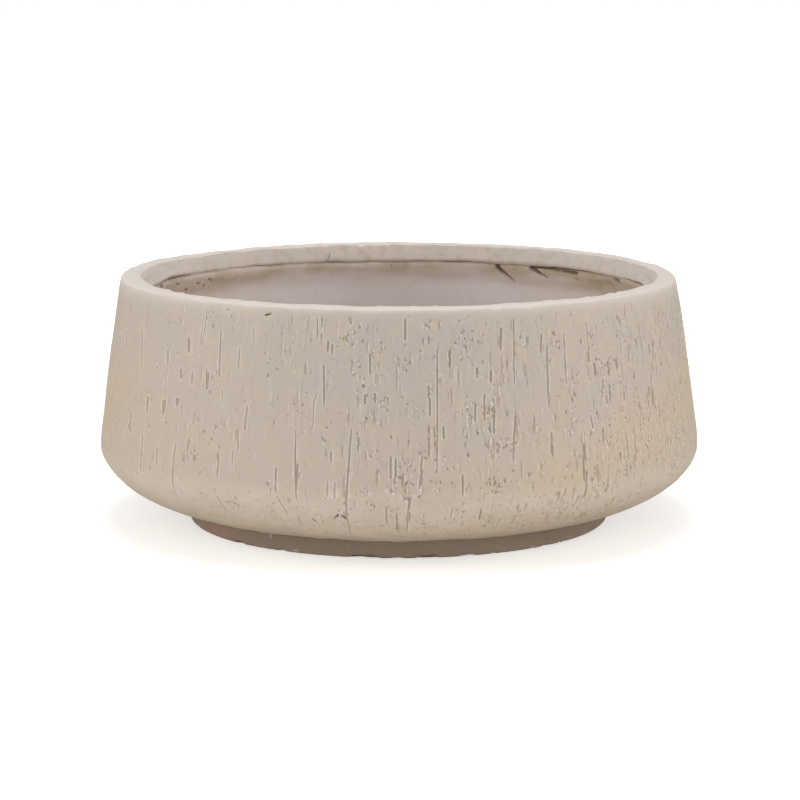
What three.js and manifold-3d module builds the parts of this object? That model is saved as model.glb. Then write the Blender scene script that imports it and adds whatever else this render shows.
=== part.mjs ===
// A wide, low bowl planter in fibre-reinforced concrete, standing on a recessed foot ring.
// Millimetres, +Z up. The origin is on the ground, in the middle of the foot ring.
//
// The bowl is laid up by hand in a mould: a textured face coat that turns over at the mouth into
// the lip and a smooth inner band, then a glass-fibre mat, then a lining that is packed thicker
// under the band. Every coat is an offset of the mould's one face, so they nest at any size.
import * as THREE from "three";
import { mergeVertices } from "three/addons/utils/BufferGeometryUtils.js";
import Module from "manifold-3d";

const wasm = await Module();
wasm.setup();

// ---- Driving dimensions ----------------------------------------------------------------------
const overallHeight = 247; // ground to the top of the lip
const widestRadius = 300; // outside, at the shoulder
const widestHeight = 77; // where the underside's curve reaches the widest radius
const shoulderHeight = 11; // above that, where the leaning wall's line meets the widest radius
const rimRadius = 277; // outside, where the leaning wall's line meets the top of the lip

const undersideRadius = 223.6; // the underside's edge, which stands out over the foot
const undersideSlope = 11.2; // degrees above level, at that edge
const undersideReach = 52.4; // how far the curve holds that slope
const shoulderReach = 16; // how far it holds the upright below the widest point
const undersideRound = 2;

const lipWidth = 20; // flat and rounds together, seen from above
const lipOuterRound = 6;
const lipInnerRound = 2;
const bandDepth = 18; // the smooth band inside the mouth, below the top of the lip
const bandTaper = 12; // how far the band comes in towards its lower edge
const bandEdgeRound = 2.5;

const faceThickness = 6; // textured outer coat
const matThickness = 1.2; // glass-fibre mat between the coats
const liningThickness = 7.6; // hand-laid inner coat
const seatGap = 0.3; // left between pieces that touch

const ledgeStep = 7; // how far the lining stands back from the band's lower edge
const packingHeight = 34; // the lining is packed thicker over this height under the band
const packingRound = 3;
const coveWidth = 30; // round between the lining's floor and its wall
const coveHeight = 15;

const footHeight = 20;
const footRadius = 209.5; // outside, on the ground
const footDraft = 3.5; // how much the ring thickens towards its top, on each side
const footWidth = 30; // on the ground
const footRound = 2.5;

const drainBore = 28; // clear diameter through the sleeve
const sleeveWall = 2.5;
const flangeWidth = 6; // beyond the sleeve's outside
const flangeThickness = 2.5;
const sleeveChamfer = 0.8;

const plugClearance = 0.3; // between the plug's widest rib and the sleeve's bore
const plugTaper = 1.2; // how much smaller the lowest rib would be at the plug's end
const plugDrop = 2.5; // how far the plug hangs below the sleeve
const ribCount = 3;
const ribHeight = 0.9; // sealing ribs, above the plug's barrel
const ribSpread = 1.1; // half a rib's height on the barrel
const plugChamfer = 1;
const headRadius = 19;
const headThickness = 4;
const headRound = 1.6;
const gripWidth = 16;
const gripHeight = 12;
const gripThickness = 5;
const gripRound = 1;

const bowlFacets = 60; // round the bowl
const drainFacets = 32; // round the drain
const faceSteps = 9; // along the underside's curve, on the face that shows
const hiddenSteps = 6; // along the same curve, between the coats

// ---- Profiles, as points of radius and height ---------------------------------------------------
const point = (radius, height) => new THREE.Vector2(radius, height);

// Points of an arc that rounds the corner between two straight runs.
function rounded(before, at, after, radius, steps) {
  const back = before.clone().sub(at).normalize();
  const on = after.clone().sub(at).normalize();
  const half = back.angleTo(on) / 2;
  const centre = back.clone().add(on).normalize().multiplyScalar(radius / Math.sin(half)).add(at);
  const reach = radius / Math.tan(half);
  const first = back.multiplyScalar(reach).add(at).sub(centre).angle();
  const last = on.multiplyScalar(reach).add(at).sub(centre).angle();
  const turn = THREE.MathUtils.euclideanModulo(last - first + Math.PI, 2 * Math.PI) - Math.PI;
  return Array.from({ length: steps + 1 }, (_, i) => {
    const angle = first + (turn * i) / steps;
    return point(centre.x + radius * Math.cos(angle), centre.y + radius * Math.sin(angle));
  });
}

// A run of points moved sideways, to its left as it is walked.
function offset(points, distance) {
  return points.map((p, i) => {
    const before = points[Math.max(i - 1, 0)];
    const after = points[Math.min(i + 1, points.length - 1)];
    const run = after.clone().sub(before).normalize();
    return point(p.x - run.y * distance, p.y + run.x * distance);
  });
}

// The point at a height on a run of points that only rises.
function atHeight(points, height) {
  const i = Math.max(1, points.findIndex((p) => p.y >= height));
  const [low, high] = [points[i - 1], points[i]];
  return low.clone().lerp(high, (height - low.y) / (high.y - low.y));
}

// A rising run from one height to another, with an exact point at each end.
function between(points, low, high) {
  const tooClose = 0.5;
  const inside = points.filter((p) => p.y > low + tooClose && p.y < high - tooClose);
  return [atHeight(points, low), ...inside, atHeight(points, high)];
}

// A profile turned about the upright axis.
function turned(profile, facets) {
  const geometry = new THREE.LatheGeometry(profile, facets);
  geometry.rotateX(Math.PI / 2);
  return geometry;
}

// The same for a ring, whose profile goes back to its first point.
const turnedRing = (profile, facets) => turned([...profile, profile[0].clone()], facets);

// ---- The mould's face: underside, shoulder and leaning wall ---------------------------------------
const undersideEdge = point(undersideRadius, footHeight);
const widest = point(widestRadius, widestHeight);
const wallFoot = point(widestRadius, widestHeight + shoulderHeight);
const lipCorner = point(rimRadius, overallHeight);

function mouldFace(undersideSteps, shoulderSteps) {
  const slope = THREE.MathUtils.degToRad(undersideSlope);
  const outward = point(Math.cos(slope), Math.sin(slope)).multiplyScalar(undersideReach);
  const underside = new THREE.CubicBezierCurve(
    undersideEdge,
    outward.add(undersideEdge),
    point(widestRadius, widestHeight - shoulderReach),
    widest,
  );
  const wallStart = lipCorner.clone().sub(wallFoot).setLength(shoulderHeight).add(wallFoot);
  const shoulder = new THREE.QuadraticBezierCurve(widest, wallFoot, wallStart);
  return [
    ...underside.getPoints(undersideSteps),
    ...shoulder.getPoints(shoulderSteps).slice(1),
    lipCorner,
  ];
}

const face = mouldFace(faceSteps, 3);
const hiddenFace = mouldFace(hiddenSteps, 2);

// ---- Levels and radii that the pieces share ---------------------------------------------------------
const bandTop = point(rimRadius - lipWidth, overallHeight);
const bandBottom = point(bandTop.x - bandTaper, overallHeight - bandDepth);
const coatsTop = bandBottom.y - seatGap;

const matSet = faceThickness + seatGap;
const liningSet = matSet + matThickness + seatGap;
const faceFloor = footHeight + faceThickness;
const matFloor = footHeight + matSet;
const liningFloor = footHeight + liningSet;
const floorTop = liningFloor + liningThickness;

const sleeveRadius = drainBore / 2 + sleeveWall;
const sleeveHole = sleeveRadius + seatGap;
const flangeRadius = sleeveRadius + flangeWidth;
const flangeSeat = floorTop - flangeThickness;
const plugSeat = floorTop + seatGap;

// ---- The bowl's coats ---------------------------------------------------------------------------------
// Textured outer coat, with the solid lip and inner band that it turns over into.
function bowlShell() {
  const inside = between(offset(hiddenFace, faceThickness), faceFloor, bandBottom.y);
  return turnedRing(
    [
      point(sleeveHole, footHeight),
      ...rounded(point(0, footHeight), undersideEdge, face[1], undersideRound, 2),
      ...face.slice(1, -1),
      ...rounded(wallFoot, lipCorner, bandTop, lipOuterRound, 4),
      ...rounded(lipCorner, bandTop, bandBottom, lipInnerRound, 3),
      ...rounded(bandTop, bandBottom, inside.at(-1), bandEdgeRound, 3),
      ...inside.reverse(),
      point(sleeveHole, faceFloor),
    ],
    bowlFacets,
  );
}

// Glass-fibre mat, laid on the face coat while it is wet.
function fibreMat() {
  const matTop = matFloor + matThickness;
  return turnedRing(
    [
      point(sleeveHole, matFloor),
      ...between(offset(hiddenFace, matSet), matFloor, coatsTop),
      ...between(offset(hiddenFace, matSet + matThickness), matTop, coatsTop).reverse(),
      point(sleeveHole, matTop),
    ],
    bowlFacets,
  );
}

// Hand-laid inner coat: floor, cove, wall, and the thicker packing that carries the band.
function liningCoat() {
  const outside = between(offset(hiddenFace, liningSet), liningFloor, coatsTop);
  const inside = offset(hiddenFace, liningSet + liningThickness);
  const packingFoot = atHeight(inside, coatsTop - packingHeight);
  const ledgeEdge = point(bandBottom.x + ledgeStep, coatsTop);
  const belowEdge = point(ledgeEdge.x, coatsTop - packingRound);
  const packing = new THREE.CubicBezierCurve(
    belowEdge,
    point(ledgeEdge.x, coatsTop - packingHeight / 2),
    atHeight(inside, coatsTop - packingHeight / 2),
    packingFoot,
  );
  const coveTop = atHeight(inside, floorTop + coveHeight);
  const coveCorner = atHeight(inside, floorTop);
  const coveFoot = point(coveCorner.x - coveWidth, floorTop);
  const cove = new THREE.QuadraticBezierCurve(coveTop, coveCorner, coveFoot);
  return turnedRing(
    [
      point(sleeveHole, liningFloor),
      ...outside,
      ...rounded(outside.at(-1), ledgeEdge, belowEdge, packingRound, 3).slice(0, -1),
      ...packing.getPoints(5),
      ...between(inside, coveTop.y, packingFoot.y).slice(1, -1).reverse(),
      ...cove.getPoints(3),
      point(flangeRadius + seatGap, floorTop),
      point(flangeRadius + seatGap, flangeSeat - seatGap),
      point(sleeveHole, flangeSeat - seatGap),
    ],
    bowlFacets,
  );
}

// ---- Foot and drain -------------------------------------------------------------------------------------
// Foot ring, bedded on the flat under the bowl.
function footRing() {
  const top = footHeight - seatGap;
  const outerTop = point(footRadius + footDraft, top);
  const outerFoot = point(footRadius, 0);
  const innerFoot = point(footRadius - footWidth, 0);
  const innerTop = point(innerFoot.x - footDraft, top);
  return turnedRing(
    [
      ...rounded(innerTop, innerFoot, outerFoot, footRound, 3),
      ...rounded(innerFoot, outerFoot, outerTop, footRound, 3),
      outerTop,
      innerTop,
    ],
    bowlFacets,
  );
}

// Plastic sleeve that forms the drain hole and stays in the floor.
function drainSleeve() {
  const bore = drainBore / 2;
  return turnedRing(
    [
      point(bore + sleeveChamfer, footHeight),
      point(sleeveRadius, footHeight),
      point(sleeveRadius, flangeSeat),
      point(flangeRadius, flangeSeat),
      point(flangeRadius, floorTop - sleeveChamfer),
      point(flangeRadius - sleeveChamfer, floorTop),
      point(bore + sleeveChamfer, floorTop),
      point(bore, floorTop - sleeveChamfer),
      point(bore, footHeight + sleeveChamfer),
    ],
    drainFacets,
  );
}

// The plug's flat head and its barrel, which tapers and carries the sealing ribs.
function plugBody() {
  const end = footHeight - plugDrop;
  const length = plugSeat - end;
  const headTop = plugSeat + headThickness;
  const ribRadius = (height) =>
    drainBore / 2 - plugClearance - (plugTaper * (plugSeat - height)) / length;
  const barrel = (height) => point(ribRadius(height) - ribHeight, height);
  const ribs = Array.from({ length: ribCount }, (_, i) => {
    const middle = end + (length * (i + 1)) / (ribCount + 1);
    return [barrel(middle - ribSpread), point(ribRadius(middle), middle), barrel(middle + ribSpread)];
  });
  const underHead = point(headRadius, plugSeat);
  return turned(
    [
      point(0, end),
      point(barrel(end).x - plugChamfer, end),
      barrel(end + plugChamfer),
      ...ribs.flat(),
      barrel(plugSeat),
      underHead,
      ...rounded(underHead, point(headRadius, headTop), point(0, headTop), headRound, 4),
      point(0, headTop),
    ],
    drainFacets,
  );
}

// The plug's grip: a round-topped tab that stands across the head, its foot sunk into it.
function plugGrip() {
  const half = gripWidth / 2 - gripRound;
  const foot = -headThickness / 2;
  const crown = gripHeight - gripRound - half;
  const outline = new THREE.Shape();
  outline.moveTo(half, foot);
  outline.absarc(0, crown, half, 0, Math.PI, false);
  outline.lineTo(-half, foot);
  const geometry = new THREE.ExtrudeGeometry(outline, {
    depth: gripThickness - 2 * gripRound,
    curveSegments: 12,
    bevelThickness: gripRound,
    bevelSize: gripRound,
    bevelSegments: 2,
  });
  geometry.translate(0, 0, gripRound - gripThickness / 2);
  geometry.rotateX(Math.PI / 2);
  geometry.translate(0, 0, plugSeat + headThickness);
  return geometry;
}

// A closed geometry as a solid that can be joined.
function solid(geometry) {
  const bare = geometry.clone();
  bare.deleteAttribute("normal");
  bare.deleteAttribute("uv");
  const merged = mergeVertices(bare);
  return new wasm.Manifold(
    new wasm.Mesh({
      numProp: 3,
      vertProperties: merged.attributes.position.array,
      triVerts: new Uint32Array(merged.index.array),
    }),
  );
}

// Rubber plug, moulded in one with its grip.
function drainPlug() {
  const joined = solid(plugBody()).add(solid(plugGrip())).getMesh();
  const geometry = new THREE.BufferGeometry();
  geometry.setAttribute("position", new THREE.BufferAttribute(joined.vertProperties, 3));
  geometry.setIndex(new THREE.BufferAttribute(joined.triVerts, 1));
  geometry.computeVertexNormals();
  return geometry;
}

// ---- Materials and assembly -------------------------------------------------------------------------
const matt = (color, roughness) => new THREE.MeshStandardMaterial({ color, roughness, metalness: 0 });
const faceConcrete = matt(0xbeb1a3, 0.92);
const liningConcrete = matt(0xa89c92, 0.95);
const footConcrete = matt(0xa69a8c, 0.95);
const glassFibre = matt(0xd9d8cc, 0.7);
const greyPlastic = matt(0x6f7275, 0.5);
const blackRubber = matt(0x232323, 0.8);

function piece(name, geometry, material) {
  const mesh = new THREE.Mesh(geometry, material);
  mesh.name = name;
  return mesh;
}

const planter = new THREE.Group();
planter.add(
  piece("bowl_shell", bowlShell(), faceConcrete),
  piece("fibre_mat", fibreMat(), glassFibre),
  piece("lining_coat", liningCoat(), liningConcrete),
  piece("foot_ring", footRing(), footConcrete),
  piece("drain_sleeve", drainSleeve(), greyPlastic),
  piece("drain_plug", drainPlug(), blackRubber),
);

export default planter;
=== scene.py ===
# Concrete bowl planter: the cast finish of every surface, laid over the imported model.
# Shapes are worked out in millimetres and put into the meshes in metres.
import math

import bpy
import numpy as np
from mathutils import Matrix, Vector


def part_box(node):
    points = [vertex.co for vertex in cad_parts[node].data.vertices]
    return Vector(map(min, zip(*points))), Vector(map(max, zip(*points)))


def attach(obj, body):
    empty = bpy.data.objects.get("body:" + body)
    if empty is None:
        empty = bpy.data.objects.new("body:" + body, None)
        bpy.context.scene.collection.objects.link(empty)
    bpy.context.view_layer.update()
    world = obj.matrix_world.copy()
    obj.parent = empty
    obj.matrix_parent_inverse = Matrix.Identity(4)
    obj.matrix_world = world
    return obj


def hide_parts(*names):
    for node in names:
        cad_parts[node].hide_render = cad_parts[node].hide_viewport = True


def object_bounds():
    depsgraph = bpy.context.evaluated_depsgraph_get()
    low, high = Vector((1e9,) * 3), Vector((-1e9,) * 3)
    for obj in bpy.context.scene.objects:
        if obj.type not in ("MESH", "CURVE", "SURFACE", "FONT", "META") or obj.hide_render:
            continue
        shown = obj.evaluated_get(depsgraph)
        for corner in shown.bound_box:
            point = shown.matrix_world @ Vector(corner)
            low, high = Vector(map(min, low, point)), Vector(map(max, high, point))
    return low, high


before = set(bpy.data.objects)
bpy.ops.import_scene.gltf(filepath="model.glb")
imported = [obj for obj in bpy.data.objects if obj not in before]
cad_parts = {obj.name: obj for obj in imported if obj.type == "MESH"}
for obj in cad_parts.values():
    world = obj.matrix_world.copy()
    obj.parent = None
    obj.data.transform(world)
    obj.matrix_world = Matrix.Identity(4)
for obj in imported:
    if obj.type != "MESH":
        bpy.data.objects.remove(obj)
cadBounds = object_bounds()
mm = 0.001
skinGap = 0.02  # that a skin keeps inside the surface that bounds it, in mm

photo = {
    "distance": 2900.0,  # from the bowl's axis
    "height": 598.0,
    "pitch": 9.42,  # degrees below level
    "lens": 131.33,
    "sensor": 36.0,
    "shift": 0.0016,  # the bowl stands a pixel left of the picture's middle
}


def makeCamera():
    data = bpy.data.cameras.new("photoCamera")
    data.lens = photo["lens"]
    data.sensor_width = photo["sensor"]
    data.shift_x = photo["shift"]
    camera = bpy.data.objects.new("photoCamera", data)
    camera.location = (0, -photo["distance"] * mm, photo["height"] * mm)
    camera.rotation_euler = (math.radians(90 - photo["pitch"]), 0, 0)
    bpy.context.scene.collection.objects.link(camera)
    bpy.context.scene.camera = camera


makeCamera()
print("camera placed")


# Profiles are arrays of [radius, height] points.
def bezier(points, steps):
    # Bernstein sum of the control points, of any degree, at even steps of its parameter
    points = np.array(points, float)
    degree = len(points) - 1
    t = np.linspace(0, 1, steps)[:, None]
    terms = [math.comb(degree, k) * t**k * (1 - t) ** (degree - k) * points[k] for k in range(degree + 1)]
    return sum(terms)


def roundCorner(before, at, after, radius, steps=12):
    # Arc of the radius that touches both straight runs which meet at the corner
    before, at, after = (np.array(p, float) for p in (before, at, after))
    back = (before - at) / np.linalg.norm(before - at)
    on = (after - at) / np.linalg.norm(after - at)
    half = math.acos(np.clip(back @ on, -1, 1)) / 2
    centre = at + (back + on) / np.linalg.norm(back + on) * radius / math.sin(half)
    first = at + back * radius / math.tan(half) - centre
    last = at + on * radius / math.tan(half) - centre
    start = math.atan2(first[1], first[0])
    turn = (math.atan2(last[1], last[0]) - start + math.pi) % (2 * math.pi) - math.pi
    angle = start + turn * np.linspace(0, 1, steps)
    return centre + radius * np.stack([np.cos(angle), np.sin(angle)], 1)


def arcLengths(points):
    return np.r_[0, np.cumsum(np.linalg.norm(np.diff(points, axis=0), axis=1))]


def evenly(points, step):
    # The same line walked again in even steps of its own length
    points = np.array(points, float)
    lengths = arcLengths(points)
    at = np.linspace(0, lengths[-1], max(2, int(round(lengths[-1] / step)) + 1))
    return np.stack([np.interp(at, lengths, column) for column in points.T], 1)


def offsetLeft(points, distance):
    # Every point moved square to the run, to its left as it is walked
    tangent = np.gradient(points, axis=0)
    tangent /= np.linalg.norm(tangent, axis=1, keepdims=True)
    return points + distance * np.stack([-tangent[:, 1], tangent[:, 0]], 1)


def betweenHeights(points, low, high):
    # The part of a rising run between two heights, with an exact point at each end
    inside = points[(points[:, 1] > low + 0.2) & (points[:, 1] < high - 0.2)]
    ends = [[np.interp(z, points[:, 1], points[:, 0]), z] for z in (low, high)]
    return np.vstack([ends[0], inside, ends[1]])


def cut(field, level, softness):
    # 0 below the level, rising to 1 over the softness
    return np.clip((field - level) / softness, 0, 1)


def hump(away, width):
    # 1 at no distance, falling off both ways as a Gaussian
    return np.exp(-((away / width) ** 2))


class Sheet:
    # A casting's skin unrolled: columns go round it, and rows go along its profile in even steps.
    # Column 0 faces the camera, and columns grow towards the viewer's right
    def __init__(self, columns, radius, profile, step):
        self.columns = columns
        self.radius = radius
        self.columnStep = 2 * math.pi * radius / columns
        self.rowStep = step
        self.lengths = arcLengths(profile)
        self.along = np.arange(int(self.lengths[-1] / step) + 2)[:, None] * step
        self.rows = len(self.along)
        self.angle = 2 * math.pi * np.arange(columns)[None, :] / columns
        self.degrees = np.degrees((self.angle + math.pi) % (2 * math.pi) - math.pi)
        self.r = np.interp(self.along, self.lengths, profile[:, 0])
        self.z = np.interp(self.along, self.lengths, profile[:, 1])

    def smeared(self, seed, across, along):
        # White noise spread by a Gaussian of the two widths in mm, brought back to unit deviation
        noise = np.random.default_rng(seed).standard_normal((self.rows, self.columns))
        down = np.fft.fftfreq(self.rows, self.rowStep)[:, None]
        sideways = np.fft.rfftfreq(self.columns, self.columnStep)[None, :]
        spread = np.exp(-2 * math.pi**2 * ((along * down) ** 2 + (across * sideways) ** 2))
        field = np.fft.irfft2(np.fft.rfft2(noise) * spread, s=noise.shape)
        return (field - field.mean()) / field.std()

    def relief(self, layers):
        # Sum of smeared noises: each layer is a height in mm, a seed, and the widths across and along
        return sum(height * self.smeared(seed, across, along) for height, seed, across, along in layers)

    def wobble(self, seed, across):
        # Noise that changes only round the casting
        return self.smeared(seed, across, 1e6)[:1]

    def window(self, angle, middle, halfAcross, halfAlong):
        # The cells a mark can reach, and their distances from its middle in mm
        column = int(round(angle / (2 * math.pi) * self.columns))
        span = int(math.ceil(halfAcross / self.columnStep)) + 1
        columns = np.arange(column - span, column + span + 1)
        first = max(0, int((middle - halfAlong) / self.rowStep) - 1)
        last = min(self.rows, int((middle + halfAlong) / self.rowStep) + 3)
        rows = np.arange(first, max(first + 1, last))
        across = (columns * self.columnStep - angle * self.radius)[None, :]
        along = (rows * self.rowStep - middle)[:, None]
        return np.ix_(rows, columns % self.columns), across, along

    def sampled(self, field, every):
        # The field at the profile's own points and at every so many columns
        field = np.broadcast_to(field, (self.rows, self.columns))[:, ::every]
        at = np.clip(self.lengths / self.rowStep, 0, self.rows - 1.001)
        low = at.astype(int)
        part = (at - low)[:, None]
        return field[low] * (1 - part) + field[low + 1] * part


def turnedMesh(name, shown, hidden, sheet, every, push, drop, marks):
    # The closed profile, walked anticlockwise and turned: each point of the part that shows is moved
    # outwards by push, square to the profile, and then down by drop
    profile = np.vstack([shown, hidden])
    rest = np.zeros((len(hidden), sheet.columns // every))
    push, drop = (np.vstack([sheet.sampled(field, every), rest]) for field in (push, drop))
    rows, columns = push.shape
    tangent = np.roll(profile, -1, 0) - np.roll(profile, 1, 0)
    tangent /= np.maximum(np.linalg.norm(tangent, axis=1, keepdims=True), 1e-9)
    radius = profile[:, :1] + tangent[:, 1:] * push
    height = profile[:, 1:] - tangent[:, :1] * push - drop
    radius = np.minimum(radius, cadBounds[1][0] / mm - skinGap)
    height = np.clip(height, 0, cadBounds[1][2] / mm - skinGap)
    angle = sheet.angle[:, ::every]
    points = np.stack([radius * np.sin(angle), -radius * np.cos(angle), height], -1) * mm
    i, j = np.meshgrid(np.arange(rows), np.arange(columns), indexing="ij")
    row, nextRow = i * columns, (i + 1) % rows * columns
    nextColumn = (j + 1) % columns
    quads = np.stack([row + j, row + nextColumn, nextRow + nextColumn, nextRow + j], -1).reshape(-1, 4)
    mesh = bpy.data.meshes.new(name)
    mesh.vertices.add(rows * columns)
    mesh.vertices.foreach_set("co", points.ravel().astype(np.float32))
    mesh.loops.add(quads.size)
    mesh.loops.foreach_set("vertex_index", quads.ravel().astype(np.int32))
    mesh.polygons.add(len(quads))
    mesh.polygons.foreach_set("loop_start", np.arange(0, quads.size, 4, dtype=np.int32))
    for key, field in marks.items():
        values = np.vstack([sheet.sampled(field, every), rest])
        attribute = mesh.attributes.new(key, "FLOAT", "POINT")
        attribute.data.foreach_set("value", values.ravel().astype(np.float32))
    along = arcLengths(profile)[:, None]
    straight = np.broadcast_arrays(sheet.radius * np.sin(angle), -sheet.radius * np.cos(angle), along)
    attribute = mesh.attributes.new("grain", "FLOAT_VECTOR", "POINT")
    attribute.data.foreach_set("vector", (np.stack(straight, -1) * mm).ravel().astype(np.float32))
    mesh.update(calc_edges=True)
    piece = bpy.data.objects.new(name, mesh)
    bpy.context.scene.collection.objects.link(piece)
    return piece


def settle(piece, triangles, sharpAngle):
    # Keeps triangles where the surface is cut up and drops them where it is plain, then smooths all
    # but the real edges
    piece.data.calc_loop_triangles()
    share = triangles / len(piece.data.loop_triangles)
    if share < 1:
        piece.modifiers.new("thinOut", "DECIMATE").ratio = share
    graph = bpy.context.evaluated_depsgraph_get()
    mesh = bpy.data.meshes.new_from_object(piece.evaluated_get(graph))
    piece.modifiers.clear()
    piece.data = mesh
    mesh.shade_smooth()
    mesh.set_sharp_from_angle(angle=math.radians(sharpAngle))


def dress(piece, body, node, material):
    piece.data.materials.clear()
    piece.data.materials.append(material)
    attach(piece, body)
    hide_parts(node)
    print(piece.name, "has", len(piece.data.polygons), "faces")


print("tools ready")

shell = {
    "sheetColumns": 3072,
    "sheetRadius": 290.0,
    "sheetStep": 0.8,
    "every": 1,  # sheet columns to a column of the mesh
    "rowStep": 1.1,  # of the mesh, along the profile
    "triangles": 196000,
    "widest": 300.0,
    "widestHeight": 77.0,
    "shoulderHeight": 11.0,
    "rim": 277.0,
    "undersideRadius": 223.6,
    "undersideSlope": 11.2,
    "undersideReach": 52.4,
    "shoulderReach": 16.0,
    "lipWidth": 20.0,
    "lipOuterRound": 6.0,
    "lipInnerRound": 2.0,
    "bandDepth": 18.0,
    "bandTaper": 12.0,
    "bandEdgeRound": 2.5,
    "coat": 6.0,
    "drainHole": 16.8,
    "inset": 0.12,  # the skin's mean place inside the mould's face
    "waves": [(0.12, 11, 45, 30), (0.06, 12, 9, 16)],
    "bandSmears": [(0.35, 14, 22, 2.5)],
    "lipSmears": [(0.12, 15, 12, 5)],
    "footJoint": [(0.5, 18, 7, 3)],
    "edgeWear": 1.5,
    "edgeBites": 2.4,
    "burrStands": 0.34,
    "crackDepth": 1.2,
    "bandDroops": (0.8, 0.3),  # in long waves and in short ones
    # where the casting is a little out of round: degrees, height, half width, half height and depth
    "flats": [
        (-90, 105, 28, 32, 1.2),
        (90, 240, 28, 24, 1.3),
        (-60, 236, 22, 20, 0.5),
        (-133, 247, 15, 8, 0.9),
        (-88, 58, 20, 12, 0.8),
    ],
}
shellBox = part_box("bowl_shell")
topHeight = shellBox[1].z / mm
footTop = shellBox[0].z / mm
bandHeight = topHeight - shell["bandDepth"]
lipInside = shell["rim"] - shell["lipWidth"]


def mouldFace():
    # Underside: cubic curve to the widest point; shoulder: quadratic blend; then the straight wall
    edge = np.array([shell["undersideRadius"], footTop])
    slope = math.radians(shell["undersideSlope"])
    widest = np.array([shell["widest"], shell["widestHeight"]])
    wallFoot = widest + [0, shell["shoulderHeight"]]
    lipCorner = np.array([shell["rim"], topHeight])
    reach = shell["undersideReach"] * np.array([math.cos(slope), math.sin(slope)])
    underside = bezier([edge, edge + reach, widest - [0, shell["shoulderReach"]], widest], 120)
    lean = (lipCorner - wallFoot) / np.linalg.norm(lipCorner - wallFoot)
    shoulder = bezier([widest, wallFoot, wallFoot + lean * shell["shoulderHeight"]], 24)
    return np.vstack([underside, shoulder[1:], lipCorner])


face = mouldFace()


def shellProfile():
    # The skin that shows, from the underside's edge round the lip to the band, and the hidden rest
    wallFoot, lipCorner = face[-2], face[-1]
    bandTop = lipCorner - [shell["lipWidth"], 0]
    bandBottom = bandTop - [shell["bandTaper"], shell["bandDepth"]]
    skin = [
        face[:-1],
        roundCorner(wallFoot, lipCorner, bandTop, shell["lipOuterRound"]),
        roundCorner(lipCorner, bandTop, bandBottom, shell["lipInnerRound"]),
        roundCorner(bandTop, bandBottom, bandBottom + [30, 0], shell["bandEdgeRound"]),
    ]
    inside = offsetLeft(face, shell["coat"])
    inside = betweenHeights(inside, footTop + shell["coat"], bandHeight)[::-1]
    floorRun = [[inside[-1, 0], footTop + shell["coat"]], [shell["drainHole"], footTop + shell["coat"]]]
    under = [[shell["drainHole"], footTop], [shell["undersideRadius"], footTop]]
    hidden = [
        [bandBottom + [6.5, 0]],
        evenly(inside, 12),
        evenly(floorRun, 40)[1:],
        evenly(under, 40)[:-1],
    ]
    return evenly(np.vstack(skin), shell["rowStep"]), np.vstack(hidden)


bark = {
    "fadeFrom": 284.0,  # radius on the underside where the bark starts to fade
    "fadeTo": 244.0,
    "bareUnderLip": 7.0,
    "grooves": 7600,
    "grooveLength": 5.6,  # the middle of the lengths, in mm
    "lengthSpread": 0.62,
    "longestGroove": 70.0,
    "grooveWidth": (1.0, 2.3),
    "grooveDepth": (0.2, 1.1),
    "widerOnRight": 0.5,  # and deeper, by this share
    "clusters": 540,
    "pitsInCluster": 6,
    "clusterSpread": 4.5,
    "singlePits": 2300,
    "pitSize": (0.65, 1.3),
    "pitDepth": (0.7, 1.55),
    "chips": 200,
    "chipForm": ((1.4, 2.8), (2.5, 6.0), (0.3, 0.55)),  # half width, half height and depth
    "nicks": 600,  # low, wide chips
    "nickForm": ((1.2, 4.5), 0.8, (0.3, 0.7)),
    "densestAt": 80.0,  # degrees to the right of the front
    "density": (0.44, 0.7),  # the mean all round, and how much more there is where it is densest
    "sparsest": (0.24, 0.06),  # at the front, and how much more at the back
    "seed": 7,
}
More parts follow.
